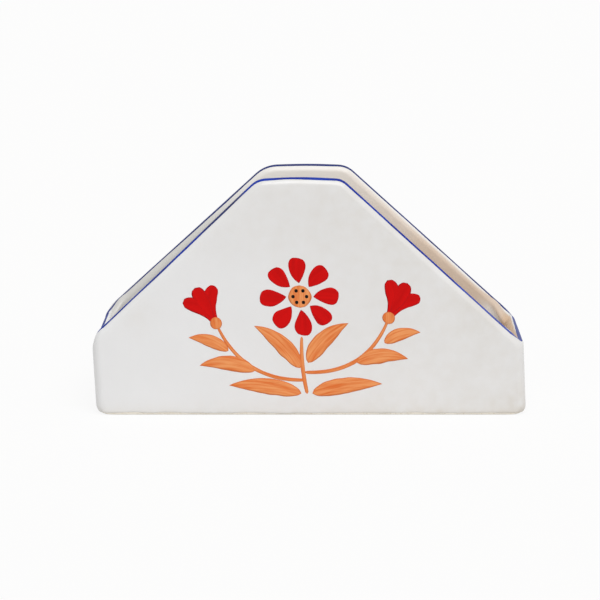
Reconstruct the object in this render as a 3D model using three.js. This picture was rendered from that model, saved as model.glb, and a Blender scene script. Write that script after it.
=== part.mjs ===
// Slab-built ceramic napkin holder: a floor slab, two tall walls cut to a low gable with a nearly flat top,
// and two low end walls. The slabs are butted, luted with slip and pressed along every inside corner
// with a coil of clay. Millimetres, +Z up, +X to the right, -Y to the front; the origin is the middle
// of the foot, on the table.
import * as THREE from "three";

// Overall size of the clay, before glaze.
const holderWidth = 160; // end face to end face
const holderDepth = 48; // front face to back face
const wallHeight = 88.8; // table to the middle of the tall walls' tops

// Rolled slabs.
const baseThickness = 5;
const wallThickness = 5; // front and back walls
const endThickness = 4; // left and right end walls

// The front wall as it was cut. A shoulder is where the slope would meet the end face. The crown is
// how far the top edge falls from its middle to its corners.
const frontTopWidth = 31;
const frontTopCrown = 0.8;
const frontLeftShoulder = 29.2;
const frontRightShoulder = 26.7;
const frontTopLeftRound = 8.5;
const frontTopRightRound = 6;
const frontLeftRound = 11;
const frontRightRound = 3;

// The back wall, cut by hand from a second slab, so that it differs a little.
const backTopWidth = 31.4;
const backTopCrown = 0.5;
const backLeftShoulder = 30.9;
const backRightShoulder = 29.2;
const backTopLeftRound = 13;
const backTopRightRound = 9;
const backLeftRound = 12;
const backRightRound = 8;

// The end walls' rims, trimmed by eye and sponged: the height of each where it meets the front and the
// back wall, the place of its crest as a share of the slab, and how far down its two rounds reach.
const leftEndFront = 29.2;
const leftEndBack = 31.3;
const leftCrestShare = 0.75; // 0 at the outer face, 1 at the inner face
const leftOuterRound = 6.5;
const leftInnerRound = 1;
const rightEndFront = 28.1;
const rightEndBack = 29.3;
const rightCrestShare = 0.3;
const rightOuterRound = 1.2;
const rightInnerRound = 2.8;

// The soft clay leaned to the left as it dried, the front more than the back: the drift at wallHeight.
const frontLean = -4.5;
const backLean = -1.8;

// Sponged edges.
const cornerRound = 3.2; // outer upright edges
const footRound = 1.2; // long edges of the underside
const footEndRound = 3.6; // short edges of the underside, sponged more

// Joints.
const slipFilm = 0.2; // slip between two luted faces
const coilLeg = 4; // how far a pressed coil spreads along each of its two slabs
const coilEdge = 0.3; // thickness at which the coil is feathered out

// How finely curves are cut into facets.
const arcSteps = 6; // a round corner of an outline
const rimSteps = 8; // the half round of a rim
const footSteps = 3; // the quarter round of the foot
const leastRound = 0.2; // a round corner that is cut back never closes up

const halfWidth = holderWidth / 2;
const halfDepth = holderDepth / 2;
const innerX = halfWidth - endThickness;
const innerY = halfDepth - wallThickness;
const wallFoot = baseThickness + slipFilm;
const outerRound = Math.min(cornerRound, wallThickness);

// Depth of a quarter round of the given radius, at a distance in from the face that it starts on.
function roundedBack(radius, distance) {
  const rest = Math.max(radius - distance, 0);
  return radius - Math.sqrt(radius * radius - rest * rest);
}

// The points round a polygon, with an arc at each corner that has a round.
function roundedOutline(corners) {
  return corners.flatMap((corner, i) => {
    if (!corner.round) return [new THREE.Vector2(corner.x, corner.y)];
    const at = new THREE.Vector2(corner.x, corner.y);
    const before = corners.at(i - 1);
    const after = corners[(i + 1) % corners.length];
    const toBefore = new THREE.Vector2(before.x, before.y).sub(at).normalize();
    const toAfter = new THREE.Vector2(after.x, after.y).sub(at).normalize();
    const halfAngle = Math.acos(toBefore.dot(toAfter)) / 2;
    const middle = toBefore.clone().add(toAfter).normalize();
    const centre = at.clone().addScaledVector(middle, corner.round / Math.sin(halfAngle));
    const turn = Math.sign(toAfter.cross(toBefore)) * (Math.PI - 2 * halfAngle);
    const start = middle.clone().negate().multiplyScalar(corner.round);
    return Array.from({ length: arcSteps + 1 }, (_, step) =>
      start.clone().rotateAround(new THREE.Vector2(), turn * (step / arcSteps - 0.5)).add(centre),
    );
  });
}

// A closed solid through matching outlines in XY, each at its own level along Z, capped at both ends.
function loft(outlines, levels) {
  const order = levels.map((_, i) => i).sort((i, j) => levels[i] - levels[j]);
  const rings = order.map((i) =>
    THREE.ShapeUtils.isClockWise(outlines[i]) ? [...outlines[i]].reverse() : outlines[i],
  );
  const count = rings[0].length;
  const last = (rings.length - 1) * count;
  const positions = rings.flatMap((ring, i) => ring.flatMap((p) => [p.x, p.y, levels[order[i]]]));
  const triangles = [];
  for (let a = 0; a < last; a++) {
    const b = (a + 1) % count ? a + 1 : a + 1 - count;
    triangles.push(a, b, b + count, a, b + count, a + count);
  }
  for (const [a, b, c] of THREE.ShapeUtils.triangulateShape(rings[0], [])) triangles.push(a, c, b);
  for (const face of THREE.ShapeUtils.triangulateShape(rings.at(-1), []))
    triangles.push(...face.map((corner) => corner + last));
  const geometry = new THREE.BufferGeometry();
  geometry.setAttribute("position", new THREE.Float32BufferAttribute(positions, 3));
  geometry.setIndex(triangles);
  return geometry;
}

// Turns a loft so that its outline stands up in XZ and its levels run towards the front.
function standing(geometry) {
  return geometry.rotateX(Math.PI / 2);
}

// Turns a loft so that its outline stands up in YZ and its levels run to the right.
function lyingAlongX(geometry) {
  const axes = [new THREE.Vector3(0, 1, 0), new THREE.Vector3(0, 0, 1), new THREE.Vector3(1, 0, 0)];
  return geometry.applyMatrix4(new THREE.Matrix4().makeBasis(...axes));
}

// Moves every point sideways by the lean of the drying clay at its height and depth.
function leaned(geometry) {
  const points = geometry.attributes.position;
  for (let i = 0; i < points.count; i++) {
    const lean = THREE.MathUtils.lerp(frontLean, backLean, points.getY(i) / holderDepth + 0.5);
    points.setX(i, points.getX(i) + (lean * points.getZ(i)) / wallHeight);
  }
  geometry.computeVertexNormals();
  return geometry;
}

// A tall wall's outline in XZ, with its rim and its upright sides cut back by the given amounts. Its
// top is two straight lines that fall to the corners, joined by an arc over the middle half.
function wallOutline(cut, rimInset, sideInset) {
  const crownSlope = cut.topCrown / (cut.topWidth / 2);
  const crownRound = cut.topWidth / 4 / crownSlope;
  const peak = wallHeight + crownRound * (Math.hypot(1, crownSlope) - 1);
  const peakY = peak - rimInset * Math.hypot(1, crownSlope);
  const flank = (side, shoulder, round, topRound) => {
    const slope = (peak - cut.topCrown - shoulder) / (halfWidth - cut.topWidth / 2);
    const shoulderY = shoulder - rimInset * Math.hypot(1, slope);
    const topInset = (peakY - crownSlope * halfWidth - shoulderY) / (slope - crownSlope);
    const sideX = halfWidth - sideInset;
    return {
      foot: { x: side * sideX, y: wallFoot },
      shoulder: {
        x: side * sideX,
        y: shoulderY + slope * sideInset,
        round: Math.max(round - rimInset, leastRound),
      },
      top: {
        x: side * (halfWidth - topInset),
        y: shoulderY + slope * topInset,
        round: Math.max(topRound - rimInset, leastRound),
      },
    };
  };
  const left = flank(-1, cut.leftShoulder, cut.leftRound, cut.topLeftRound);
  const right = flank(1, cut.rightShoulder, cut.rightRound, cut.topRightRound);
  const crown = { x: 0, y: peakY, round: crownRound - rimInset };
  return roundedOutline([
    left.foot,
    right.foot,
    right.shoulder,
    right.top,
    crown,
    left.top,
    left.shoulder,
  ]);
}

// A tall wall: its rim is a full round across the slab, its outer upright edges are sponged round.
// The outer face looks to the front for side -1 and to the back for side 1.
function tallWall(cut, side) {
  const rimRadius = wallThickness / 2;
  const depths = Array.from(
    { length: rimSteps + 1 },
    (_, step) => rimRadius * (1 - Math.cos((Math.PI * step) / rimSteps)),
  );
  const outlines = depths.map((depth) => {
    const fromFace = Math.min(depth, wallThickness - depth);
    return wallOutline(cut, roundedBack(rimRadius, fromFace), roundedBack(outerRound, depth));
  });
  const levels = depths.map((depth) => side * (depth - halfDepth));
  return leaned(standing(loft(outlines, levels)));
}

// An end wall's section in XZ: a slab whose rim falls from its crest in two quarter rounds.
function endSection(end, crest) {
  const at = (x, y) => new THREE.Vector2(end.side * x, y);
  const turns = Array.from({ length: arcSteps + 1 }, (_, step) => (Math.PI / 2) * (step / arcSteps));
  const crestX = halfWidth - end.crestShare * endThickness;
  const outer = turns.map((turn) =>
    at(crestX + (halfWidth - crestX) * Math.cos(turn), crest - end.outerRound * (1 - Math.sin(turn))),
  );
  const inner = turns.map((turn) =>
    at(crestX - (crestX - innerX) * Math.sin(turn), crest - end.innerRound * (1 - Math.cos(turn))),
  );
  return [at(innerX, wallFoot), at(halfWidth, wallFoot), ...outer, ...inner.slice(1)];
}

// An end wall, butted between the inner faces of the two tall walls.
function endWall(end) {
  const reach = innerY - slipFilm;
  const sections = [endSection(end, end.back), endSection(end, end.front)];
  return leaned(standing(loft(sections, [-reach, reach])));
}

// The floor slab, with sponged upright edges and a round along its underside.
function floorSlab() {
  const longRound = Math.min(footRound, baseThickness);
  const endRound = Math.min(footEndRound, baseThickness);
  const heightsOf = (radius) =>
    Array.from(
      { length: footSteps + 1 },
      (_, step) => radius * (1 - Math.cos((Math.PI / 2) * (step / footSteps))),
    );
  const levels = [...new Set([...heightsOf(longRound), ...heightsOf(endRound), baseThickness])];
  const outlineAt = (height) => {
    const x = halfWidth - roundedBack(endRound, height);
    const y = halfDepth - roundedBack(longRound, height);
    return roundedOutline([
      { x: -x, y: -y, round: outerRound },
      { x, y: -y, round: outerRound },
      { x, y, round: outerRound },
      { x: -x, y, round: outerRound },
    ]);
  };
  return leaned(loft(levels.map(outlineAt), levels));
}

// A pressed coil's section: it fills the corner at (x, y) between two slabs that lie along the
// directions alongX and alongY, with a hollow quarter round in front.
function coilSection(x, y, alongX, alongY) {
  const hollow = coilLeg - coilEdge;
  const arc = Array.from({ length: arcSteps + 1 }, (_, step) => {
    const angle = (Math.PI / 2) * (step / arcSteps);
    return [coilLeg - hollow * Math.sin(angle), coilLeg - hollow * Math.cos(angle)];
  });
  const corners = [[0, coilLeg], [0, 0], [coilLeg, 0], ...arc];
  return corners.map(
    ([u, v]) => new THREE.Vector2(x + alongX * (slipFilm + u), y + alongY * (slipFilm + v)),
  );
}

// An upright coil in the inside corner of an end wall and a tall wall, standing on the floor coils.
function uprightCoil(end, tall, sideY) {
  const outline = coilSection(end.side * innerX, sideY * innerY, -end.side, -sideY);
  const foot = wallFoot + coilLeg + slipFilm;
  return leaned(loft([outline, outline], [foot, end[tall] - end.innerRound - slipFilm]));
}

// A floor coil along a tall wall, from end wall to end wall.
function longFloorCoil(sideY) {
  const outline = coilSection(sideY * innerY, baseThickness, -sideY, 1);
  const reach = innerX - slipFilm;
  return leaned(lyingAlongX(loft([outline, outline], [-reach, reach])));
}

// A floor coil along an end wall, between the two long floor coils.
function shortFloorCoil(sideX) {
  const outline = coilSection(sideX * innerX, baseThickness, -sideX, 1);
  const reach = innerY - slipFilm - coilLeg - slipFilm;
  return leaned(standing(loft([outline, outline], [-reach, reach])));
}

const whiteGlaze = { color: 0xdedcd8, roughness: 0.15, metalness: 0 };
const insideGlaze = { color: 0xd0c6ba, roughness: 0.2, metalness: 0 };
const bareClay = { color: 0xd5cbb8, roughness: 0.8, metalness: 0 };

const holder = new THREE.Group();

function piece(name, geometry, finish) {
  const mesh = new THREE.Mesh(geometry, new THREE.MeshStandardMaterial(finish));
  mesh.name = name;
  holder.add(mesh);
}

const frontCut = {
  topWidth: frontTopWidth,
  topCrown: frontTopCrown,
  leftShoulder: frontLeftShoulder,
  rightShoulder: frontRightShoulder,
  topLeftRound: frontTopLeftRound,
  topRightRound: frontTopRightRound,
  leftRound: frontLeftRound,
  rightRound: frontRightRound,
};
const backCut = {
  topWidth: backTopWidth,
  topCrown: backTopCrown,
  leftShoulder: backLeftShoulder,
  rightShoulder: backRightShoulder,
  topLeftRound: backTopLeftRound,
  topRightRound: backTopRightRound,
  leftRound: backLeftRound,
  rightRound: backRightRound,
};
const leftEnd = {
  side: -1,
  front: leftEndFront,
  back: leftEndBack,
  crestShare: leftCrestShare,
  outerRound: leftOuterRound,
  innerRound: leftInnerRound,
};
const rightEnd = {
  side: 1,
  front: rightEndFront,
  back: rightEndBack,
  crestShare: rightCrestShare,
  outerRound: rightOuterRound,
  innerRound: rightInnerRound,
};

piece("base_slab", floorSlab(), bareClay);
piece("front_wall", tallWall(frontCut, -1), whiteGlaze);
piece("back_wall", tallWall(backCut, 1), whiteGlaze);
piece("left_end_wall", endWall(leftEnd), whiteGlaze);
piece("right_end_wall", endWall(rightEnd), whiteGlaze);

for (const [tall, sideY] of [["front", -1], ["back", 1]]) {
  piece(`${tall}_floor_coil`, longFloorCoil(sideY), insideGlaze);
  piece(`${tall}_left_corner_coil`, uprightCoil(leftEnd, tall, sideY), insideGlaze);
  piece(`${tall}_right_corner_coil`, uprightCoil(rightEnd, tall, sideY), insideGlaze);
}
piece("left_floor_coil", shortFloorCoil(-1), insideGlaze);
piece("right_floor_coil", shortFloorCoil(1), insideGlaze);

export default holder;
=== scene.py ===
# %% [markdown]
# # A slab-built ceramic napkin holder, glazed and painted
#
# The clay holder comes ready made as a frame of separate slabs and coils, at its real size. This
# lesson gives it the skin that a potter gives it: a white glaze outside, a thinner glaze inside, a
# cobalt line round the rim, a painted spray of flowers on the front and a bare clay foot.
#
# The frame is loaded first and is never moved. Its box is kept, so that the finished model can be
# compared with it at the end.

# %% Load the clay holder
import math

import bpy
import numpy as np
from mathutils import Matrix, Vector, noise
from mathutils.bvhtree import BVHTree
from mathutils.geometry import interpolate_bezier


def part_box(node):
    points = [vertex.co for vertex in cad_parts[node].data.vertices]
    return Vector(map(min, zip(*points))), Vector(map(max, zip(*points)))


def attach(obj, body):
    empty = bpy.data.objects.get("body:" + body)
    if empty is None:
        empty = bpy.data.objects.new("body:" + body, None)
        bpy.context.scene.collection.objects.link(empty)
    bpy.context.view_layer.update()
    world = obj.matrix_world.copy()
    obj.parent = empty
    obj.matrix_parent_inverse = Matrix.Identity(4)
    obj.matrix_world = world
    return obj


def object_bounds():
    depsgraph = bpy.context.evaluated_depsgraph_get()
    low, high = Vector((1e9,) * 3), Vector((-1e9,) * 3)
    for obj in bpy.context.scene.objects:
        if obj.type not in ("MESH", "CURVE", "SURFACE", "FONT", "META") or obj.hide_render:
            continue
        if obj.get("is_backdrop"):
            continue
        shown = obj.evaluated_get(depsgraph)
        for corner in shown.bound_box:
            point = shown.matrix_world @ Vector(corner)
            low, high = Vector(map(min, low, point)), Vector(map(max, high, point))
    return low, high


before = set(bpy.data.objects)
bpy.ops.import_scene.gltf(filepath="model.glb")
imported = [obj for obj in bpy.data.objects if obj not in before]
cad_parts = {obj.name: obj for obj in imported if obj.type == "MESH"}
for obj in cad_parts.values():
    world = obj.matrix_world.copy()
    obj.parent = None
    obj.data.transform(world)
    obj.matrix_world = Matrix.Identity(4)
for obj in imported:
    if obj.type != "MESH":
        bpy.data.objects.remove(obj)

cad_low, cad_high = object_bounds()
bpy.context.scene.view_settings.view_transform = "Standard"
print("clay pieces:", len(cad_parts), "box:", tuple(cad_low), tuple(cad_high))

# %% [markdown]
# ## The sizes that the glaze has to follow
#
# A coat of glaze follows the clay, so it needs the clay's sizes. Depth, height and thickness are
# measured on the frame itself. The cut of the two tall walls is written down here in millimetres,
# because a box can't tell a slope or a rounded corner. A shoulder is the height at which a wall's
# slope would meet its end face, and the crown is how far its top falls to the corners. The rim of
# an end wall has a height at the front and at the back, a crest that lies at a share of the slab,
# and a quarter round that falls away on each side of it.

# %% Measure the clay
MM = 0.001


def box_mm(node):
    low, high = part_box(node)
    return low / MM, high / MM


front_low, front_high = box_mm("front_wall")
half_depth = -front_low.y
wall_thickness = front_high.y - front_low.y
wall_height = front_high.z
floor_top = box_mm("base_slab")[1].z
half_width = 80.0
end_thickness = 4.0
rim_radius = wall_thickness / 2
upright_round = 3.2
foot_round = 1.2
foot_end_round = 3.6
cuts = {
    "front": {
        "top": dict(width=31.0, crown=0.8),
        "left": dict(shoulder=29.2, round=11.0, top_round=8.5),
        "right": dict(shoulder=26.7, round=3.0, top_round=6.0),
    },
    "back": {
        "top": dict(width=31.4, crown=0.5),
        "left": dict(shoulder=30.9, round=12.0, top_round=13.0),
        "right": dict(shoulder=29.2, round=8.0, top_round=9.0),
    },
}
tall_rim = dict(crest=0.5, outer_round=rim_radius, inner_round=rim_radius)
end_rims = {
    "left": dict(front=29.2, back=31.3, crest=0.75, outer_round=6.5, inner_round=1.0),
    "right": dict(front=28.1, back=29.3, crest=0.3, outer_round=1.2, inner_round=2.8),
}
lean_at_top = {"front": -4.5, "back": -1.8}
print(f"walls {wall_thickness:.2f} mm thick and {wall_height:.1f} mm high, {2 * half_depth:.1f} mm deep")

# %% [markdown]
# ## The camera
#
# The photograph was taken almost straight from the front and a little from above. The place, tilt
# and focal length come from fitting a pinhole camera to the rim lines, the sides and the foot. The
# long focal length keeps the two rims nearly parallel.

# %% Place the camera
camera_place = Vector((-4.2, -800.0, 183.0)) * MM
camera_tilt = math.radians(10.18)
focal_pixels = 2135.2
image_pixels = 600
camera_data = bpy.data.cameras.new("camera")
camera_data.sensor_width = 36.0
camera_data.lens = focal_pixels / image_pixels * camera_data.sensor_width
camera = bpy.data.objects.new("camera", camera_data)
camera.location = camera_place
camera.rotation_euler = (math.pi / 2 - camera_tilt, 0.0, 0.0)
bpy.context.scene.collection.objects.link(camera)
bpy.context.scene.camera = camera
print(f"camera: {camera_data.lens:.1f} mm lens, {camera_place.length:.2f} m from the holder")

# %% [markdown]
# ## Helpers for finishes
#
# Colours are written as sRGB hex values, the way a colour picker shows them, and turned to linear
# light here. Patterns are written by their size in millimetres. One function adds a shader node,
# sets it up and links it, and another mixes two colours by a share, so that each finish below reads
# as a short recipe.

# %% Helpers for finishes


def linear(hex_colour):
    channels = [int(hex_colour[i : i + 2], 16) / 255 for i in (1, 3, 5)]
    return tuple(c / 12.92 if c <= 0.04045 else ((c + 0.055) / 1.055) ** 2.4 for c in channels) + (1.0,)


def per_mm(size):
    """The texture scale at which one feature of a pattern is this many millimetres wide."""
    return 1 / (size * MM)


def add_node(tree, kind, values=None, links=None, **settings):
    node = tree.nodes.new(kind)
    for setting, value in settings.items():
        setattr(node, setting, value)
    for socket, value in (values or {}).items():
        node.inputs[socket].default_value = value
    for socket, source in (links or {}).items():
        tree.links.new(source, node.inputs[socket])
    return node


def mixed(tree, share, first, second):
    """A colour between two, by a share. Each is a hex value, or the colour that another node gives."""
    node = add_node(tree, "ShaderNodeMix", links={0: share}, data_type="RGBA")
    for socket, colour in ((6, first), (7, second)):
        if isinstance(colour, str):
            node.inputs[socket].default_value = linear(colour)
        else:
            tree.links.new(colour, node.inputs[socket])
    return node.outputs[2]


def new_material(name):
    """An empty node material and its tree."""
    material = bpy.data.materials.new(name)
    material.use_nodes = True
    material.node_tree.nodes.clear()
    return material, material.node_tree


def finish_material(tree, values, links):
    """Ends a recipe with the surface shader."""
    shader = add_node(tree, "ShaderNodeBsdfPrincipled", values, links)
    add_node(tree, "ShaderNodeOutputMaterial", links={"Surface": shader.outputs["BSDF"]})


print("white of the glaze in linear light:", [round(c, 3) for c in linear("#E5E5E6")])

# %% [markdown]
# ## White tin glaze, dipped
#
# The outside is an earthenware glaze made opaque white with tin, put on by dipping. It is glass, so
# it is glossy, with an index of refraction near 1.5. To the eye it is a slightly warm white, with
# faint clouds where it went on thicker, a ripple like orange peel, and a warmer tint wherever it ran
# thin over the buff clay. The same tint is used as a painted shade that darkens the face towards the
# right and the top. Thin places and that painted shade are marked on the mesh by an attribute named
# "thin_glaze_and_painted_light".

# %% White glaze
white_glaze, tree = new_material("tin_glaze_dipped_white")
place = add_node(tree, "ShaderNodeTexCoord").outputs["Object"]
thin_glaze_and_painted_light = add_node(tree, "ShaderNodeAttribute", attribute_name="thin_glaze_and_painted_light").outputs["Fac"]
clouds = add_node(
    tree, "ShaderNodeTexNoise", {"Scale": per_mm(28), "Detail": 4.0, "Roughness": 0.6}, {"Vector": place}
)
cloudy_white = mixed(tree, clouds.outputs["Fac"], "#DDDDDD", "#E5E5E6")
mottle = add_node(tree, "ShaderNodeTexNoise", {"Scale": per_mm(5), "Detail": 3.0}, {"Vector": place})
patchy_thin_and_painted_light = add_node(
    tree,
    "ShaderNodeMath",
    links={0: thin_glaze_and_painted_light, 1: mottle.outputs["Fac"]},
    operation="MULTIPLY",
    use_clamp=True,
)
# The buff tint marks thin glaze, and painted shade towards the right and the top of the face.
glaze_colour = mixed(tree, patchy_thin_and_painted_light.outputs[0], cloudy_white, "#BFB29C")
peel = add_node(tree, "ShaderNodeTexNoise", {"Scale": per_mm(3.5), "Detail": 2.0}, {"Vector": place})
ripple = add_node(
    tree, "ShaderNodeBump", {"Strength": 0.12, "Distance": 0.1 * MM}, {"Height": peel.outputs["Fac"]}
)
gloss = add_node(
    tree, "ShaderNodeMapRange", {"To Min": 0.16, "To Max": 0.3}, {"Value": mottle.outputs["Fac"]}
)
finish_material(
    tree,
    {"IOR": 1.5},
    {
        "Base Color": glaze_colour,
        "Roughness": gloss.outputs["Result"],
        "Normal": ripple.outputs["Normal"],
    },
)
print("material:", white_glaze.name)

# %% [markdown]
# ## Clear glaze, poured inside
#
# Inside, a thinner glaze was poured in and drained over the right end. It still shines, but the
# buff clay shows through it, most of all at the right, where it drained last. It is greyer to the
# left. On the right end wall and near the rim just before it, painted shade makes it darker, and in
# the upright corner before that wall a painted light makes it paler. Two attributes on the mesh,
# "thin_glaze_and_painted_light" and "greyed_and_shaded", say where. The recipe is much like the first
# one, with larger patches along the way that the glaze ran, and with less gloss where little glaze is
# left.

# %% Inside glaze
inside_glaze, tree = new_material("thin_glaze_poured_inside")
place = add_node(tree, "ShaderNodeTexCoord").outputs["Object"]
thin_glaze_and_painted_light = add_node(tree, "ShaderNodeAttribute", attribute_name="thin_glaze_and_painted_light").outputs["Fac"]
runs = add_node(
    tree, "ShaderNodeTexNoise", {"Scale": per_mm(14), "Detail": 3.0, "Distortion": 0.6}, {"Vector": place}
)
run_depth = add_node(
    tree, "ShaderNodeMapRange", {"To Min": 0.75, "To Max": 1.25}, {"Value": runs.outputs["Fac"]}
)
patchy_thin_and_painted_light = add_node(
    tree,
    "ShaderNodeMath",
    links={0: thin_glaze_and_painted_light, 1: run_depth.outputs["Result"]},
    operation="MULTIPLY",
    use_clamp=True,
)
greyed_and_shaded = add_node(tree, "ShaderNodeAttribute", attribute_name="greyed_and_shaded").outputs["Fac"]
# Grey to the left, and painted shade on the right end wall and near the rim just before it.
white_with_grey_and_shade = mixed(tree, greyed_and_shaded, "#EAE8E4", "#B4B3AF")
# Buff where the glaze is thin, darker with painted shade on the end wall, paler with painted light in the
# corner before it.
glaze_colour = mixed(tree, patchy_thin_and_painted_light.outputs[0], white_with_grey_and_shade, "#CBAA88")
gloss = add_node(
    tree, "ShaderNodeMapRange", {"To Min": 0.28, "To Max": 0.7}, {"Value": patchy_thin_and_painted_light.outputs[0]}
)
finish_material(tree, {"IOR": 1.5}, {"Base Color": glaze_colour, "Roughness": gloss.outputs["Result"]})
print("material:", inside_glaze.name)

# %% [markdown]
# ## Buff clay, fired bare
#
# The foot was wiped clean of glaze, so that the pot wouldn't stick to the kiln shelf. Bare
# earthenware is matt and pale buff, with darker grains of grog and a fine tooth. All the clay pieces
# of the frame get it, though most of them end up under the glaze. Real grains are about 0.3 mm;
# they are drawn at 0.9 mm so that a few show in the narrow strip at the foot.

# %% Bare clay
bare_clay, tree = new_material("buff_earthenware_fired_bare")
place = add_node(tree, "ShaderNodeTexCoord").outputs["Object"]
body = add_node(tree, "ShaderNodeTexNoise", {"Scale": per_mm(6), "Detail": 4.0}, {"Vector": place})
body_colour = mixed(tree, body.outputs["Fac"], "#F0E9DB", "#F8F4EB")
grains = add_node(tree, "ShaderNodeTexVoronoi", {"Scale": per_mm(0.9)}, {"Vector": place})
grain_mask = add_node(
    tree,
    "ShaderNodeMapRange",
    {"From Min": 0.12, "From Max": 0.34, "To Min": 0.55, "To Max": 0.0},
    {"Value": grains.outputs["Distance"]},
)
clay_colour = mixed(tree, grain_mask.outputs["Result"], body_colour, "#CDBB9C")
tooth = add_node(
    tree,
    "ShaderNodeBump",
    {"Strength": 0.4, "Distance": 0.1 * MM},
    {"Height": grains.outputs["Distance"]},
)
finish_material(
    tree,
    {"Roughness": 0.85, "IOR": 1.45},
    {"Base Color": clay_colour, "Normal": tooth.outputs["Normal"]},
)
for clay_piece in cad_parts.values():
    clay_piece.data.materials.clear()
    clay_piece.data.materials.append(bare_clay)
print("material:", bare_clay.name, "on", len(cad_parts), "clay pieces")

# %% [markdown]
# ## The shape of the walls, as a formula
#
# The glaze could be made by thickening the clay pieces one by one, but then every joint would show.
# A real coat runs over the joints in one skin, so the skin is worked out as a grid: stations go
# round the walls, and rows go up the outside, over the rim, down the inside and across the floor.
#
# The first formulas give the height of a tall wall's cut edge, and the height of the low end walls.

# %% Heights of the rim


def rounded_corner(at, steep, flat, radius, inward):
    """Height on the arc that rounds the corner of two lines, or nothing to either side of it."""
    reach = radius * math.tan((steep - flat) / 2)
    start = at[0] - reach * math.cos(steep)
    if not start <= inward <= at[0] + reach * math.cos(flat):
        return None
    middle = start + radius * math.sin(steep)
    foot = at[1] - reach * math.sin(steep) - radius * math.cos(steep)
    return foot + math.sqrt(radius**2 - (inward - middle) ** 2)


def cut_height(cut, x):
    """Height of a tall wall's cut edge: a rounded shoulder, a slope, a rounded corner, a crowned top."""
    side = cut["left" if x < 0 else "right"]
    inward = half_width - min(abs(x), half_width)
    half_top = cut["top"]["width"] / 2
    crown = math.atan2(cut["top"]["crown"], half_top)
    crown_round = half_top / 2 / math.tan(crown)
    peak = (half_width, wall_height + crown_round * (1 / math.cos(crown) - 1))
    corner = (half_width - half_top, peak[1] - cut["top"]["crown"])
    slope = math.atan2(corner[1] - side["shoulder"], corner[0])
    arcs = (
        rounded_corner((0.0, side["shoulder"]), math.pi / 2, slope, side["round"], inward),
        rounded_corner(corner, slope, crown, side["top_round"], inward),
        rounded_corner(peak, crown, -crown, crown_round, inward),
    )
    lines = (
        side["shoulder"] + inward * math.tan(slope),
        corner[1] + (inward - corner[0]) * math.tan(crown),
    )
    return next((height for height in arcs if height is not None), min(lines))


def end_rim(x):
    return end_rims["left" if x < 0 else "right"]


def end_height(x, y):
    """Height of an end wall's crest, which runs straight from the front wall to the back wall."""
    share = min(max(y / (2 * (half_depth - wall_thickness)) + 0.5, 0.0), 1.0)
    return end_rim(x)["front"] + share * (end_rim(x)["back"] - end_rim(x)["front"])


def smooth_step(low, high, value):
    share = min(max((value - low) / (high - low), 0.0), 1.0)
    return share * share * (3 - 2 * share)


def ramp(value, low, high, depth):
    """Rises smoothly from nothing at the low place to the full depth at the high one."""
    return depth * smooth_step(low, high, value)


print("end crests at the front:", [round(end_height(side, -half_depth), 1) for side in (-1, 1)])

# %% [markdown]
# ## Stations round the walls
#
# Seen from above, the outside is a rectangle with small round corners, and the inside one with
# larger corners, where coils of clay were pressed in. Each station joins a point of the one to a
# point of the other. It also knows which tall wall it belongs to and how much: 1 on a tall wall, 0
# on an end wall, and a smooth change round the corner, which is how a thumb leaves the clay. At the
# front that change comes later, because the front's shoulders were pressed down sharper.

# %% Lay out the stations
inside_play = 0.3
inside_round = 6.0
floor_fillet = 4.5
tall_steps = 150
end_steps = 24
corner_steps = 10
outer_x = half_width - upright_round
outer_y = half_depth - upright_round
inner_half_x = half_width - end_thickness - inside_play
inner_half_y = half_depth - wall_thickness - inside_play
inner_x = inner_half_x - inside_round
inner_y = inner_half_y - inside_round
crossing_power = 7
corner_blend = {-1: (0.5, 1.0), 1: (0.2, 1.0)}
stations = []


def add_station(outer, inner, out, wall_side, tallness):
    wall = "front" if wall_side < 0 else "back"
    across = (outer[0] - inner[0]) * out[0] + (outer[1] - inner[1]) * out[1]
    station = dict(outer=outer, inner=inner, out=out, wall=wall, tall=tallness, across=across)
    stations.append(station)


def along_tall_wall(side_y):
    for step in range(1, tall_steps):
        share = (1 - 2 * step / tall_steps) * side_y
        squeeze = 1 - (1 - inner_x / outer_x) * abs(share) ** crossing_power
        outer = (outer_x * share, side_y * half_depth)
        inner = (outer[0] * squeeze, side_y * inner_half_y)
        add_station(outer, inner, (0, side_y), side_y, 1.0)


def along_end_wall(side_x):
    for step in range(1, end_steps):
        share = (2 * step / end_steps - 1) * side_x
        outer = (side_x * half_width, outer_y * share)
        inner = (side_x * inner_half_x, inner_y * share)
        add_station(outer, inner, (side_x, 0), share, 0.0)


def along_corner(side_x, side_y):
    """The corner's stations, in the order in which the walk round the holder meets them."""
    steps = list(range(corner_steps + 1))
    if side_x * side_y > 0:
        steps.reverse()
    for step in steps:
        turn = step / corner_steps
        out = (side_x * math.sin(turn * math.pi / 2), side_y * math.cos(turn * math.pi / 2))
        outer = (side_x * outer_x + upright_round * out[0], side_y * outer_y + upright_round * out[1])
        inner = (side_x * inner_x + inside_round * out[0], side_y * inner_y + inside_round * out[1])
        add_station(outer, inner, out, side_y, 1 - smooth_step(*corner_blend[side_y], turn))


along_tall_wall(-1)
along_corner(1, -1)
along_end_wall(1)
along_corner(1, 1)
along_tall_wall(1)
along_corner(-1, 1)
along_end_wall(-1)
along_corner(-1, -1)
print("stations round the walls:", len(stations))

# %% [markdown]
# ## Rows over the walls
#
# At each station the rows climb the outside from the wiped foot line, cross the rim in two quarter
# rounds, go down inside, turn with a soft fillet and end on the floor. A rim on a slope is cut square
# to its own edge, so seen along the wall its round looks taller: that is the stretch below.
#
# Each row also says how much of the glaze it carries. Melting glaze draws back from an edge, so the
# crest of the rim keeps less of it. At the foot the glaze thins to nothing and tucks in behind the
# clay's surface, so the coat ends in a soft lip.

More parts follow.
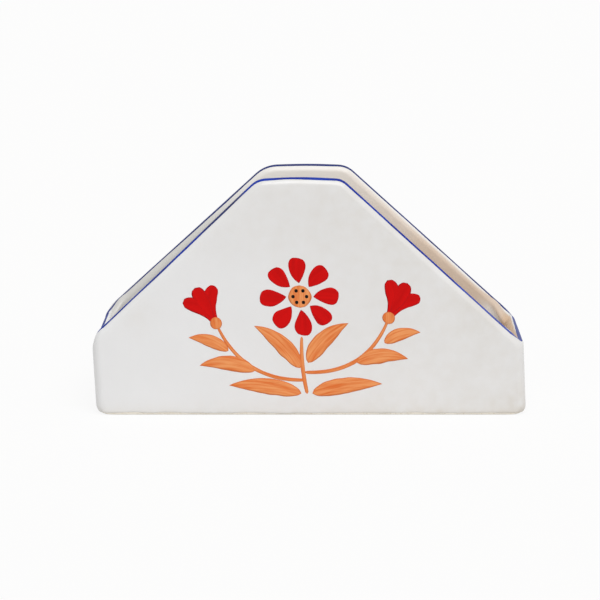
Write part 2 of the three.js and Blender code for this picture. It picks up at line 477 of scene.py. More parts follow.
# %% Build the grid
foot_line = 0.95
foot_wander = (7.0, 0.35)
foot_lip = [(-0.1, -1.0), (0.0, 0.25), (0.14, 0.8), (0.4, 1.0), (0.9, 1.0), (1.5, 1.0), (2.3, 1.0)]
crest_wear = 0.6
wall_rows = 20
rim_rows = 28
inner_rows = 14
fillet_rows = 6
steepest_stretch = 1.45


def rim_height(station, x, y):
    end = end_height(x, y)
    return end + station["tall"] * (cut_height(cuts[station["wall"]], x) - end)


def rim_shape(station, key):
    """One number of a station's rim, blended from the tall wall's to the end wall's at a corner."""
    end = end_rim(station["outer"][0])
    return end[key] + station["tall"] * (tall_rim[key] - end[key])


def rim_drop(station, share):
    """How far the rim's two quarter rounds have fallen from the crest, at a share of the way across."""
    crest = rim_shape(station, "crest")
    slab = end_thickness + station["tall"] * (wall_thickness - end_thickness) + inside_play
    if share < crest:
        left = 1 - share * station["across"] / (crest * slab)
        tall = rim_shape(station, "outer_round")
    else:
        left = 1 - (1 - share) * station["across"] / ((1 - crest) * slab)
        tall = rim_shape(station, "inner_round")
    return tall * (1 - math.sqrt(1 - max(left, 0.0) ** 2))


def rim_stretch(station, x):
    """How much taller the round of a sloping rim looks in an upright section."""
    cut = cuts[station["wall"]]
    rise = (cut_height(cut, x + 0.5) - cut_height(cut, x - 0.5)) * station["tall"]
    return min(math.hypot(1, rise), steepest_stretch)


def undercut(radius, height):
    """How far a rounded lower edge lies back from the face, at a height above the table."""
    left = max(radius - height, 0.0)
    return radius - math.sqrt(radius**2 - left**2)


def outside_point(station, height):
    x, y = station["outer"]
    x -= undercut(foot_end_round, height) * min(max(x / outer_x, -1), 1)
    y -= undercut(foot_round, height) * min(max(y / outer_y, -1), 1)
    return x, y, height


def wall_section(station):
    """The rows of one station: points in millimetres on the clay, and the share of glaze on each."""
    (ox, oy), (ix, iy), (nx, ny) = station["outer"], station["inner"], station["out"]
    foot = foot_line + foot_wander[1] * noise.noise(Vector((ox, oy, 0)) / foot_wander[0])
    rows = [(*outside_point(station, foot + rise), share) for rise, share in foot_lip]
    start = foot + foot_lip[-1][0]
    end = rim_height(station, ox, oy) - rim_drop(station, 0.0) * rim_stretch(station, ox)
    crest = rim_shape(station, "crest")
    for row in range(1, wall_rows):
        rows.append((*outside_point(station, start + (end - start) * row / wall_rows), 1.0))
    for row in range(rim_rows + 1):
        angle = math.pi * row / rim_rows
        share = crest - math.cos(angle) * (crest if row <= rim_rows // 2 else 1 - crest)
        x, y = ox + (ix - ox) * share, oy + (iy - oy) * share
        drop = rim_stretch(station, x) * rim_drop(station, share)
        rows.append((x, y, rim_height(station, x, y) - drop, 1 - crest_wear * math.sin(angle)))
    low = floor_top + inside_play + floor_fillet
    high = rows[-1][2]
    for row in range(1, inner_rows + 1):
        rows.append((ix, iy, high + (low - high) * row / inner_rows, 1.0))
    for row in range(1, fillet_rows + 1):
        angle = math.pi / 2 * row / fillet_rows
        inward = floor_fillet * (1 - math.cos(angle))
        rows.append((ix - nx * inward, iy - ny * inward, low - floor_fillet * math.sin(angle), 1.0))
    return rows


sections = np.array([wall_section(station) for station in stations])
clay_points, glaze_share = sections[..., :3], sections[..., 3]
first_rim_row = len(foot_lip) + wall_rows - 1
crest_row = first_rim_row + rim_rows // 2
print("grid of stations and rows:", clay_points.shape[:2])

# %% [markdown]
# ## From clay to glaze
#
# The coat lies a fraction of a millimetre outside the clay, along the surface's own normal. Glaze
# and hand-rolled slabs are never dead flat, so its thickness wanders softly, by about a tenth of a
# millimetre over the width of a hand. That is enough for a highlight to wobble. The whole grid also
# gets the lean that the soft clay took as it dried.
#
# Where four walls meet at a shoulder, the formula only comes near the clay. So a ray is sent from
# outside to each point of the grid. If it meets the clay too early, the point is lifted, and its
# neighbours with it, until the clay is covered.

# %% Thicken and lean the grid
glaze_thickness = 0.3
least_glaze = 0.09
ray_start = 6.0
slab_wander = (32.0, 0.13)
glaze_ripple = (9.0, 0.035)


def leaned(points):
    """Points in millimetres, moved sideways by the lean at their height and depth."""
    share = points[..., 1] / (2 * half_depth) + 0.5
    lean = lean_at_top["front"] + share * (lean_at_top["back"] - lean_at_top["front"])
    moved = points.copy()
    moved[..., 0] += lean * points[..., 2] / wall_height
    return moved


def wander(point):
    return sum(depth * noise.noise(Vector(point) / size) for size, depth in (slab_wander, glaze_ripple))


def clay_surface():
    """All the clay pieces as one tree of faces that rays can be sent to, in millimetres."""
    corners, faces = [], []
    for clay_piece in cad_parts.values():
        first = len(corners)
        corners += [clay_piece.matrix_world @ corner.co / MM for corner in clay_piece.data.vertices]
        faces += [[first + corner for corner in face.vertices] for face in clay_piece.data.polygons]
    return BVHTree.FromPolygons(corners, faces)


def lift_needed(clay, point, normal):
    """How far a point has to move out along its normal to lie over the clay."""
    distance = clay.ray_cast(Vector(point + ray_start * normal), Vector(-normal), 2 * ray_start)[3]
    return max(ray_start + least_glaze - distance, 0.0) if distance is not None else 0.0


def with_neighbours(grid, blend):
    """A grid of numbers, each blended with the ones beside it along both ways."""
    for way in (0, 1):
        grid = blend([np.roll(grid, step, axis=way) for step in (-1, 0, 1)], axis=0)
    return grid


along = np.roll(clay_points, -1, axis=0) - np.roll(clay_points, 1, axis=0)
up = np.gradient(clay_points, axis=1)
normals = np.cross(along, up)
normals /= np.linalg.norm(normals, axis=2, keepdims=True)
thickness = glaze_thickness + np.array([[wander(point) for point in row] for row in clay_points])
coat_points = leaned(clay_points + normals * (thickness * glaze_share)[..., None])

clay = clay_surface()
pairs = zip(coat_points.reshape(-1, 3), normals.reshape(-1, 3))
lift = np.array([lift_needed(clay, point, normal) for point, normal in pairs]).reshape(thickness.shape)
lift[:, : len(foot_lip)] = 0.0
lift = with_neighbours(with_neighbours(lift, np.max), np.mean)
coat_points += normals * lift[..., None]
print(f"glaze {thickness.min():.2f} to {thickness.max():.2f} mm, lifted by up to {lift.max():.2f} mm")

# %% [markdown]
# ## Two coats on the clay
#
# The outside and the inside were glazed one after the other, and their two coats meet on the crest
# of the rim. Each becomes a mesh of its own, made solid by a thin Solidify towards the clay.
#
# The attribute "thin_glaze_and_painted_light" is stored on the way. Outside, the glaze is thin just
# above the foot and at the lower right corner, where the pot was held and drained, with faint finger
# marks, and a warm painted shade darkens it a little towards the right and the top. Inside, it is
# white on the rim and changes a few millimetres down: thin and buff to the right, greyer to the left.
# On the right end wall, more buff and grey are painted shade, and so is a grey near the rim just
# before it. In the upright corner before the end wall, below the rim, less buff is given: a painted
# light that softens the shade there.
#
# A change along the wall, or down it from the crest, is written as the place where it begins, the
# place where it is complete and how deep it is then. A pair without a depth is only the two places.

# %% Make the two coats
coat_solid = 0.15
thin_spots = [
    ((79.0, -24.0, 0.0), 9.0, 0.4),
    ((-62.0, -24.0, 37.0), 7.0, 0.16),
    ((68.0, -24.0, 42.0), 12.0, 0.2),
]
foot_thinness, foot_fade = 0.5, 1.8
# Painted shade: the buff tint darkens the face towards the right and the top.
painted_shade_right, painted_shade_top = (-50.0, 60.0, 0.26), (45.0, 75.0, 0.15)
drain_start, drain_width = 1.7, 1.6
drain_start_left, drain_width_end = 0.35, 0.4
left_part, end_part = (-45.0, -10.0), (79.2, 80.0)
# Painted shade: more buff and grey on the right end wall, and grey near the rim just before it.
buff_right, buff_middle, buff_and_shade_end = (0.0, 60.0, 0.53), (-30.0, 0.0, 0.12), 0.3
grey_left, painted_shade_end, painted_shade_upper = 0.52, 0.6, (50.0, 64.0, 0.25)
# Painted light: less buff in the upright corner before the end wall, below the rim.
painted_light_corner, painted_light_top, painted_light_bottom = (66.0, 76.5, 0.9), (4.5, 8.0), (9.0, 26.0)


def outside_thinness_and_shade(point):
    """More where a spot is near and just above the foot, and a painted shade towards the right and the
    top.
    """
    thinness = foot_thinness * math.exp(-max(point[2] - foot_line, 0) / foot_fade)
    # Painted shade: a warm darkening towards the right and the top.
    thinness += ramp(point[0], *painted_shade_right) + ramp(point[2], *painted_shade_top)
    for at, size, depth in thin_spots:
        thinness += depth * math.exp(-((math.dist(point, at) / size) ** 2))
    return thinness


def inside_depths(station, rows):
    """Thinness with painted light and shade, and grey with painted shade, at the points of one station,
    from where the glaze has left the crest.
    """
    x = station["outer"][0]
    tall = station["tall"]
    start = drain_start * tall * (drain_start_left + (1 - drain_start_left) * smooth_step(*left_part, x))
    end = start + drain_width * (drain_width_end + (1 - drain_width_end) * tall)
    at_end = smooth_step(*end_part, x)
    # Painted light in the upright corner before the end wall.
    pooled = ramp(x, *painted_light_corner) * (1 - at_end)
    run, depths = 0.0, []
    for point, before in zip(rows, [rows[0], *rows]):
        run += math.dist(point, before)
        drained = smooth_step(start, end, run)
        below_rim = smooth_step(*painted_light_top, run)
        buff_with_painted_light = ramp(point[0], *buff_right) + ramp(point[0], *buff_middle)
        # Painted shade makes the end wall buffer; painted light makes the corner before it paler below
        # the rim.
        buff_with_painted_light *= 1 + buff_and_shade_end * at_end - pooled * below_rim * (1 - smooth_step(*painted_light_bottom, run))
        # Grey to the left, and painted shade on the end wall and near the rim just before it.
        grey_and_shade = grey_left * (1 - smooth_step(*left_part, point[0])) + painted_shade_end * at_end
        grey_and_shade += ramp(x, *painted_shade_upper) * (1 - at_end) * (1 - below_rim)
        depths.append((buff_with_painted_light * drained, grey_and_shade * drained))
    return depths


def new_piece(name, points_mm, faces, material, solid_mm):
    """A smooth mesh piece in the frame, made solid towards its inside, riding on the holder."""
    mesh = bpy.data.meshes.new(name)
    mesh.from_pydata([Vector(point) * MM for point in points_mm], [], faces)
    mesh.shade_smooth()
    mesh.materials.append(material)
    piece = bpy.data.objects.new(name, mesh)
    bpy.context.scene.collection.objects.link(piece)
    solid = piece.modifiers.new("solid", "SOLIDIFY")
    solid.thickness = solid_mm * MM
    solid.offset = -1.0
    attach(piece, "root")
    return piece


def paint_values(piece, name, values):
    """Stores one number for each point of a piece, for its material to read."""
    attribute = piece.data.attributes.new(name, "FLOAT", "POINT")
    attribute.data.foreach_set("value", values)


def strip_faces(rows):
    """Quads between neighbouring rows, all the way round the stations."""
    count = len(stations)
    return [
        (s * rows + r, (s + 1) % count * rows + r, (s + 1) % count * rows + r + 1, s * rows + r + 1)
        for s in range(count)
        for r in range(rows - 1)
    ]


outer_grid = clay_points[:, : crest_row + 1]
outer_points = coat_points[:, : crest_row + 1].reshape(-1, 3)
outer_faces = strip_faces(outer_grid.shape[1])
outer_coat = new_piece(
    "outer_glaze_coat", outer_points, outer_faces, white_glaze, coat_solid
)
paint_values(outer_coat, "thin_glaze_and_painted_light", [outside_thinness_and_shade(point) for point in outer_grid.reshape(-1, 3)])

inner_grid = clay_points[:, crest_row:]
inner_points = coat_points[:, crest_row:].reshape(-1, 3)
inner_count = inner_grid.shape[1]
floor_ring = tuple(s * inner_count + inner_count - 1 for s in range(len(stations)))
inner_faces = strip_faces(inner_count) + [floor_ring]
inner_coat = new_piece(
    "inside_glaze_coat", inner_points, inner_faces, inside_glaze, coat_solid
)
inner_depths = np.array([inside_depths(station, rows) for station, rows in zip(stations, inner_grid)])
paint_values(inner_coat, "thin_glaze_and_painted_light", inner_depths[..., 0].ravel())
paint_values(inner_coat, "greyed_and_shaded", inner_depths[..., 1].ravel())
print("coat faces:", len(outer_faces), "outside and", len(inner_faces), "inside")

# %% [markdown]
# ## Cobalt blue, brushed
#
# Cobalt oxide in a little glaze gives the blue of painted pottery. It is deep where the brush left
# much of it and paler where it was washed out. So much of it lies on the rim that it didn't melt in
# fully: it looks dry and satin beside the glaze, and mirrors hardly anything. Its density changes
# over a few millimetres along the stroke. Where the brush ran dry the line is a dull, dark grey.
# Two attributes on the mesh, "washed" and "dull", say where that is.

# %% Cobalt
cobalt, tree = new_material("cobalt_oxide_brushed")
place = add_node(tree, "ShaderNodeTexCoord").outputs["Object"]
load = add_node(tree, "ShaderNodeTexNoise", {"Scale": per_mm(9), "Detail": 4.0}, {"Vector": place})
washed = add_node(tree, "ShaderNodeAttribute", attribute_name="washed").outputs["Fac"]
dull = add_node(tree, "ShaderNodeAttribute", attribute_name="dull").outputs["Fac"]
load_spread = add_node(
    tree, "ShaderNodeMapRange", {"From Min": 0.3, "From Max": 0.7}, {"Value": load.outputs["Fac"]}
)
full_blue = mixed(tree, load_spread.outputs["Result"], "#08248C", "#143EAE")
washed_blue = mixed(tree, washed, full_blue, "#8A90C0")
cobalt_colour = mixed(tree, dull, washed_blue, "#30323C")
satin = {"Roughness": 0.55, "IOR": 1.5, "Specular IOR Level": 0.12}
finish_material(tree, satin, {"Base Color": cobalt_colour})
print("material:", cobalt.name)

# %% [markdown]
# ## The line round the rim
#
# A loaded brush was drawn once round the rim. The line follows the rim of the coat, station by
# station. Its two edges are given as angles over the rim's two quarter rounds: the outer face is at
# 0 degrees, the crest at 90. They wander as the hand does. On the tall walls the line lies along the
# crest, and on the low ends it slips to the outer edge. There each edge of the line has three angles:
# at the front, in the middle and at the back. The front's line gets thinner down the right slope
# and at the left shoulder, and the back's is fullest from its left slope to its top. Round a corner
# the rim is broader, and at the back the angles are squeezed there to keep the line thin, and turned
# a little towards the crest; the line's outer edge leads in to that before the corner. The strip is
# raised by a few hundredths of a millimetre and its edges dip into the glaze.

# %% Brush the rim line
line_rise = 0.04
line_rows = 8
line_edge_slope = 2.2
line_spread = {"front": (45, 103), "back": (50, 133)}
right_thinning, left_thinning = (14.0, 26.0, 6.0), (50.0, 68.0, 8.0)
back_filling, back_emptying, back_thinning = (-50.0, -40.0, 6.0), (-20.0, -5.0), (45.0, 60.0, 4.0)
crest_follow = (0.08, 0.42)
broad_rim = 7.0
corner_lead = (54.0, 77.0, 34.0)
washed_shoulder, washed_slope, washed_end = (64.0, 74.0, 0.75), (50.0, 66.0, 0.25), 0.4
front_dullness, back_dullness, end_dullness = 0.06, 0.65, 0.35
dry_places = ((-29.0, 11.0, 0.4), (-66.0, 22.0, 0.5))
dry_wander = 24.0
end_line_spread = {"left": ((75, 46, 30), (105, 76, 78)), "right": ((30, 5, 5), (104, 92, 75))}
line_wander = (11.0, 5.0)
line_solid = 0.12


def rim_point(index, angle):
    """A point of the coat's rim and the normal there, at an angle over the half round of the rim."""
    row = angle / math.pi * rim_rows
    lower = min(int(row), rim_rows - 1)
    share = row - lower
    rows = slice(first_rim_row + lower, first_rim_row + lower + 2)
    pairs = (coat_points[index, rows], normals[index, rows])
    return [(1 - share) * pair[0] + share * pair[1] for pair in pairs]


def line_edges(station):
    """The two angles over the half round between which the rim is painted at a station."""
    x, y = station["outer"]
    edges = end_line_spread["left" if x < 0 else "right"]
    low = np.array([np.interp(y, (-half_depth, 0.0, half_depth), angles) for angles in edges])
    tall = np.array(line_spread[station["wall"]], dtype=float)
    if station["wall"] == "front":
        tall[0] += ramp(x, *right_thinning) + ramp(-x, *left_thinning)
    else:
        tall[1] += ramp(x, *back_filling) * smooth_step(*back_emptying, -x)
        tall[1] -= ramp(abs(x), *back_thinning)
    wobble = np.array([noise.noise(Vector((x, y, depth)) / line_wander[0]) for depth in (0.0, 50.0)])
    edges = low + station["tall"] * (tall - low) + line_wander[1] * wobble
    if station["wall"] == "back":
        squeeze = min(wall_thickness / station["across"], 1.0) ** 2
        edges = edges.mean() + (edges - edges.mean()) * squeeze
    return np.radians(edges).clip(0.0, math.pi)


def crest_turn(index):
    """How far past the middle of the half round the rim is highest, as an angle."""
    heights = coat_points[index, first_rim_row : first_rim_row + rim_rows + 1, 2]
    top = int(np.clip(np.argmax(heights), 1, rim_rows - 1))
    before, at, after = heights[top - 1 : top + 2]
    top += 0.5 * (before - after) / (before - 2 * at + after)
    return top / rim_rows * math.pi - math.pi / 2


def line_section(index, station):
    near, far = line_edges(station)
    if station["wall"] == "back":
        corner = smooth_step(wall_thickness + inside_play, broad_rim, station["across"])
        follow = crest_follow[0] + (crest_follow[1] - crest_follow[0]) * corner
        turn = follow * station["tall"] * crest_turn(index)
        lead = line_spread["back"][0] + ramp(abs(station["outer"][0]), *corner_lead)
        near, far = max(near + turn, math.radians(lead * station["tall"])), far + turn
    points = []
    for row in range(line_rows + 1):
        share = row / line_rows
        point, normal = rim_point(index, near + (far - near) * share)
        bulge = min(4 * share * (1 - share) * line_edge_slope, 1.0)
        points.append(point + normal * line_rise * (2 * bulge - 1))
    return points


def washed_out(station):
    """How clear the blue is: washed out at the right end, before it and on the back's left shoulder."""
    x = station["outer"][0]
    if station["wall"] == "back" and x < 0:
        return ramp(-x, *washed_shoulder) * station["tall"]
    before_end = ramp(x, *washed_slope) if station["wall"] == "front" else 0.0
    return before_end + (1 - station["tall"]) * (washed_end - before_end) if x > 0 else 0.0


def run_dry(station):
    """How dull the line is: hardly on most of the front, more in its dry places, most on the back."""
    x, y = station["outer"]
    dry = sum(depth * (1 - smooth_step(size / 2, size, abs(x - at))) for at, size, depth in dry_places)
    dry *= 1 + noise.noise(Vector((x, y, 9.0)) / dry_wander)
    tall = back_dullness if station["wall"] == "back" else front_dullness + dry
    return end_dullness + station["tall"] * (tall - end_dullness)


line_points = np.array([line_section(index, station) for index, station in enumerate(stations)])
line_faces = strip_faces(line_rows + 1)
rim_line = new_piece(
    "rim_line", line_points.reshape(-1, 3), line_faces, cobalt, line_solid
)
for attribute_name, rule in (("washed", washed_out), ("dull", run_dry)):
    at_stations = [rule(station) for station in stations]
    paint_values(rim_line, attribute_name, np.repeat(at_stations, line_rows + 1))
print("rim line faces:", len(line_faces))

# %% [markdown]
# ## Underglaze colours, put on with a round brush
#
# The decoration is painted in three stains: a strong iron red, an orange terracotta and black. A
# brush leaves streaks along its path, and the colour gathers at the edge of a stroke. Each stroke
# mesh therefore carries two attributes: "brush", which measures across and along the stroke in
# millimetres, and "edge", the distance to its rim. The streaks are noise stretched along the stroke.
# Like the cobalt, the stains lie dry on the glaze: they keep their full colour and hardly shine.

# %% Brushed stains


def brushed_stain(name, middle, streak, edge, streak_width):
    """A painted stain: its colour, the darker streaks in it and the colour gathered at its edge."""
    material, tree = new_material(name)
    brush = add_node(tree, "ShaderNodeAttribute", attribute_name="brush").outputs["Vector"]
    stretched = add_node(
        tree,
        "ShaderNodeVectorMath",
        {1: (1 / streak_width, 0.06 / streak_width, 7.0)},
        {0: brush},
        operation="MULTIPLY",
    )
    hairs = add_node(
        tree,
        "ShaderNodeTexNoise",
        {"Scale": 1.0, "Detail": 3.0, "Roughness": 0.6},
        {"Vector": stretched.outputs["Vector"]},
    )
    hair_mask = add_node(
        tree, "ShaderNodeMapRange", {"From Min": 0.38, "From Max": 0.66}, {"Value": hairs.outputs["Fac"]}
    )
    streaked = mixed(tree, hair_mask.outputs["Result"], middle, streak)
    from_edge = add_node(tree, "ShaderNodeAttribute", attribute_name="edge").outputs["Fac"]
    pooled = add_node(
        tree,
        "ShaderNodeMapRange",
        {"From Min": 0.15, "From Max": 0.55, "To Min": 0.9, "To Max": 0.0},
        {"Value": from_edge},
    )
    colour = mixed(tree, pooled.outputs["Result"], streaked, edge)
    dry = {"Roughness": 0.5, "IOR": 1.5, "Specular IOR Level": 0.1}
    finish_material(tree, dry, {"Base Color": colour})
    return material


red_stain = brushed_stain("iron_red_underglaze_brushed", "#CC0606", "#BE0404", "#98101A", 1.6)
terracotta_stain = brushed_stain("terracotta_underglaze_brushed", "#E89A60", "#D86E34", "#D0703A", 0.9)
black_stain = brushed_stain("black_underglaze_dotted", "#0B0909", "#141010", "#080606", 0.8)
print("materials:", red_stain.name, terracotta_stain.name, black_stain.name)

# %% [markdown]
# ## One brush stroke
#
# Every petal, leaf, stem and dot is one stroke. It has a start, an end and a bend, and its width
# swells and tapers by two exponents: a leaf ends in a point, a petal starts in one, a stem hardly
# changes. The stroke is drawn flat on the front wall as a small grid and then laid on the glaze with
# rays, so that it follows every unevenness. It is a few hundredths of a millimetre thick.

# %% The brush
stroke_steps = 26
stroke_rows = 8
stroke_rise = 0.06
stroke_slope, stroke_dip = 3.0, 0.5
layer_rise = 0.025
stroke_solid = 0.12
edge_wander = (3.5, 0.09)
tapers = {"leaf": (0.62, 0.95), "petal": (0.9, 0.42), "stem": (0.12, 0.2), "dot": (0.5, 0.5)}
front_glaze = BVHTree.FromPolygons([Vector(point) for point in outer_points], outer_faces)


def on_front(x, z):
    """The point and normal of the front glaze at a place on the wall, before the lean."""
    lean = lean_at_top["front"] * z / wall_height
    point, normal, _, _ = front_glaze.ray_cast(Vector((x + lean, -2 * half_depth, z)), Vector((0, 1, 0)))
    return point, normal


def stroke_path(start, end, bend):
    """Points along a stroke that bows to the left of its way by about the bend, in millimetres."""
    start, end = Vector(start), Vector(end)
    way = end - start
    aside = Vector((-way.y, way.x)).normalized() * bend * 4 / 3
    handles = (start + way / 3 + aside, start + way * 2 / 3 + aside)
    return interpolate_bezier(start, *handles, end, stroke_steps + 1)


def brush_stroke(start, end, width, bend=0.0, taper="leaf", layer=0):
    """The points of one stroke, with what its material needs to know at each of them."""
    path = stroke_path(start, end, bend)
    rise_power, fall_power = tapers[taper]
    belly = rise_power / (rise_power + fall_power)
    fullest = belly**rise_power * (1 - belly) ** fall_power
    length = sum((b - a).length for a, b in zip(path, path[1:]))
    tag = start[0] + 3 * start[1]
    points, brush, edge = [], [], []
    for step, middle in enumerate(path):
        share = step / stroke_steps
        way = (path[min(step + 1, stroke_steps)] - path[max(step - 1, 0)]).normalized()
        swell = share**rise_power * (1 - share) ** fall_power / fullest
        for row in range(stroke_rows + 1):
            side = 2 * row / stroke_rows - 1
            hand = noise.noise(Vector((share * length / edge_wander[0], tag, row > stroke_rows / 2)))
            across = side * width / 2 * swell * (1 + edge_wander[1] * hand)
            spot, normal = on_front(middle.x - way.y * across, middle.y + way.x * across)
            from_edge = min((1 - abs(side)) * width / 2 * swell, share * length, (1 - share) * length)
            rise = min(from_edge / stroke_rise / stroke_slope - stroke_dip, 1.0)
            lift = stroke_rise * rise + layer * layer_rise
            points.append(spot + normal * lift)
            brush.append((across, share * length, tag))
            edge.append(from_edge)
    return points, brush, edge


def painted_piece(name, strokes, material):
    """All the strokes of one colour and kind, as one piece."""
    points, brush, edge, faces = [], [], [], []
    for stroke in strokes:
        first = len(points)
        for gathered, new in zip((points, brush, edge), brush_stroke(**stroke)):
            gathered.extend(new)
        for step in range(stroke_steps):
            for row in range(stroke_rows):
                a = first + step * (stroke_rows + 1) + row
                faces.append((a, a + stroke_rows + 1, a + stroke_rows + 2, a + 1))
    piece = new_piece(name, points, faces, material, stroke_solid)
    paint_values(piece, "edge", edge)
    attribute = piece.data.attributes.new("brush", "FLOAT_VECTOR", "POINT")
    attribute.data.foreach_set("vector", np.array(brush).ravel())
    print(name, "strokes:", len(strokes))


print("points in one stroke:", (stroke_steps + 1) * (stroke_rows + 1))

# %% [markdown]
# ## A spray of flowers
#
# The front carries a common folk ornament: an open flower between two buds, with leaves and stems.
# It fills about 85 by 52 mm in the middle of the wall. Places are in millimetres on the wall, from
# its middle and from the table. Petals of the flower come from a loop round its centre, each a
# little off its even place, and each bud is three petals in a fan. Strokes that cross get a higher
# layer, so that the later one lies on top.

# %% Paint the petals
flower_at = Vector((-2.0, 45.0))
flower_petals = 8
flower_inner, flower_outer = 4.9, 14.4
petal_width, petal_bend = 7.0, 0.5
petal_sway, petal_stretch = 5.0, 0.08
buds = [(Vector((-33.5, 35.0)), 118.0), (Vector((30.5, 37.0)), 60.0)]
bud_length, bud_width, bud_fan = 15.0, 5.6, 30.0
bud_neck, bud_bend, bud_shortening = 1.2, 2.6, 0.06


def towards(degrees, distance):
    return Vector((math.cos(math.radians(degrees)), math.sin(math.radians(degrees)))) * distance


petals = []
for petal in range(flower_petals):
    way = 90 + 360 / flower_petals * petal + petal_sway * noise.noise(Vector((petal * 1.7, 0.3, 0)))
    reach = flower_outer * (1 + petal_stretch * noise.noise(Vector((petal * 2.3, 5.1, 0))))
    start, end = flower_at + towards(way, flower_inner), flower_at + towards(way, reach)
    petals.append(dict(start=start, end=end, width=petal_width, bend=petal_bend, taper="petal"))
for at, heading in buds:
    for layer, fan in enumerate((-1, 1, 0)):
        start = at + towards(heading + 90 * fan, bud_neck)
        end = at + towards(heading + bud_fan * fan, bud_length * (1 - bud_shortening * abs(fan)))
        shape = dict(width=bud_width, bend=-bud_bend * fan, taper="petal", layer=layer)
        petals.append(dict(start=start, end=end, **shape))
painted_piece("spray_red_petals", petals, red_stain)

# %% [markdown]
# ## Stems and leaves
#
# The stems are long strokes of nearly even width, from the middle out to the flower and the buds.
# The leaves are single presses of the brush, placed in pairs that are not quite alike, and
# they lie over the stems. A formula would make them too regular, so each one is written down.

# %% Paint the stems and leaves
stem_top = flower_at - Vector((0.0, flower_outer + 0.4))
stems = [
    dict(start=(-1.0, 8.0), end=stem_top, width=1.7, bend=0.8, taper="stem"),
    dict(start=(-0.9, 13.5), end=buds[0][0], width=1.5, bend=7.0, taper="stem", layer=1),
    dict(start=(-2.4, 16.5), end=buds[1][0], width=1.5, bend=-7.0, taper="stem", layer=1),
]
painted_piece("spray_stems", stems, terracotta_stain)

leaves = [
    dict(start=(-3.2, 8.4), end=(-30.0, 11.5), width=6.2, bend=-1.3),
    dict(start=(0.8, 8.4), end=(27.0, 12.0), width=6.2, bend=1.3),
    dict(start=(-3.2, 18.0), end=(-19.5, 34.0), width=6.4, bend=-2.0),
    dict(start=(-0.2, 20.0), end=(15.5, 35.0), width=6.4, bend=2.0),
    dict(start=(-20.0, 17.0), end=(-40.5, 19.0), width=5.8, bend=-2.0),
    dict(start=(18.0, 20.0), end=(37.0, 21.5), width=5.8, bend=2.0),
    dict(start=(-29.5, 24.5), end=(-44.0, 29.5), width=4.8, bend=-1.5),
    dict(start=(28.5, 27.5), end=(42.0, 31.5), width=4.8, bend=1.5),
]
raised_leaves = [dict(leaf, layer=2) for leaf in leaves]
painted_piece("spray_leaves", raised_leaves, terracotta_stain)

# %% [markdown]
# ## Dabs
#
# Last come the round dabs: the heart of the flower with a ring of black dots, and a spot of colour
# where each stem carries its bud. A dab is a stroke that is as long as it is wide, so the same brush
# makes it.

# %% Paint the dabs
heart_size, calyx_size, dot_size = 8.4, 4.6, 1.5
dot_count, dot_ring = 6, 2.5


def dab(at, size, layer):
    """A round dab of the brush, as a stroke as long as it is wide."""
    half = Vector((0.0, size / 2))
    return dict(start=at - half, end=at + half, width=size, taper="dot", layer=layer)


hearts = [dab(flower_at, heart_size, 2)] + [dab(at, calyx_size, 4) for at, _ in buds]
painted_piece("spray_hearts", hearts, terracotta_stain)
dot_places = [flower_at + towards(360 / dot_count * turn, dot_ring) for turn in range(dot_count)]
dots = [dab(at, dot_size, 4) for at in dot_places]
painted_piece("spray_black_dots", dots, black_stain)

# %% [markdown]
# ## Floor
#
# The photograph has a plain white ground. The floor is a pale matt sheet. For the camera and for
# reflections it is brought nearer to white with Light Path, which leaves the light on the holder as
# it is and keeps a soft shadow.

# %% Floor
floor_size = 8.0
floor_whiten = 0.88


def seen_by_eye(tree):
    """1 for what the camera sees, straight or in a reflection, and 0 for light on other things."""
    rays = add_node(tree, "ShaderNodeLightPath").outputs
    straight = {0: rays["Is Camera Ray"], 1: rays["Is Glossy Ray"]}
    seen = add_node(tree, "ShaderNodeMath", links=straight, operation="MAXIMUM").outputs[0]
    through = {0: seen, 1: rays["Is Transmission Ray"]}
    return add_node(tree, "ShaderNodeMath", links=through, operation="MAXIMUM").outputs[0]


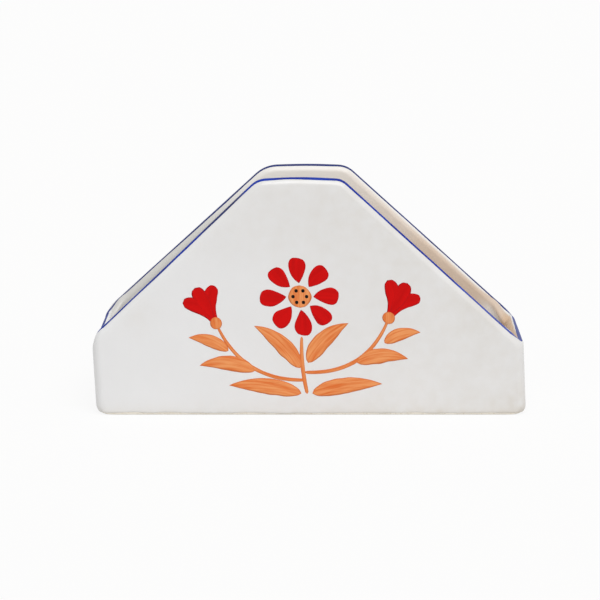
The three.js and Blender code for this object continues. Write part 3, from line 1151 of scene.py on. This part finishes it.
floor_paper, tree = new_material("pale_paper_ground")
whiten = add_node(
    tree, "ShaderNodeMath", {1: floor_whiten}, {0: seen_by_eye(tree)}, operation="MULTIPLY"
)
paper = add_node(tree, "ShaderNodeBsdfDiffuse", {"Color": linear("#EDECEA")})
white = add_node(tree, "ShaderNodeEmission", {"Color": linear("#FFFFFF"), "Strength": 1.0})
sheets = {0: whiten.outputs[0], 1: paper.outputs["BSDF"], 2: white.outputs["Emission"]}
ground = add_node(tree, "ShaderNodeMixShader", links=sheets)
add_node(tree, "ShaderNodeOutputMaterial", links={"Surface": ground.outputs["Shader"]})
half = floor_size / 2
floor_mesh = bpy.data.meshes.new("floor")
floor_corners = [(-half, -half, 0), (half, -half, 0), (half, half, 0), (-half, half, 0)]
floor_mesh.from_pydata(floor_corners, [], [(0, 1, 2, 3)])
floor_mesh.materials.append(floor_paper)
floor = bpy.data.objects.new("floor", floor_mesh)
bpy.context.scene.collection.objects.link(floor)
floor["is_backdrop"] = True
print("floor:", floor_size, "m wide")

# %% [markdown]
# ## Light
#
# The light in the photograph is soft and comes from above the camera, a little from the right. A
# broad sun lamp gives that direction with soft shadows, and an even pale world fills in. The camera
# and the reflections see the world as white, as they do the floor.

# %% Light
world_level = 0.48
sun_level = 1.9
sun_towards = Vector((0.18, -0.58, 0.78))
sun_spread = math.radians(50)
world = bpy.data.worlds.new("studio")
bpy.context.scene.world = world
world.use_nodes = True
tree = world.node_tree
tree.nodes.clear()
level = add_node(
    tree, "ShaderNodeMapRange", {"To Min": world_level, "To Max": 1.0}, {"Value": seen_by_eye(tree)}
)
sky = add_node(
    tree, "ShaderNodeBackground", {"Color": linear("#FFFFFF")}, {"Strength": level.outputs["Result"]}
)
add_node(tree, "ShaderNodeOutputWorld", links={"Surface": sky.outputs["Background"]})

sun_data = bpy.data.lights.new("soft_sun", "SUN")
sun_data.energy = sun_level
sun_data.angle = sun_spread
sun = bpy.data.objects.new("soft_sun", sun_data)
sun.rotation_mode = "QUATERNION"
sun.rotation_quaternion = sun_towards.to_track_quat("Z", "Y")
bpy.context.scene.collection.objects.link(sun)
print("light: world", world_level, "and sun", sun_level)

# %% [markdown]
# ## Compare the sizes and finish
#
# The glaze and the paint add a fraction of a millimetre to the clay. The finished box is measured
# against the clay's, and the growth is printed.

# %% Sizes
low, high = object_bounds()
grown = [round((b - a) / MM, 2) for a, b in zip(cad_high - cad_low, high - low)]
print("the finish adds", grown, "mm to width, depth and height")
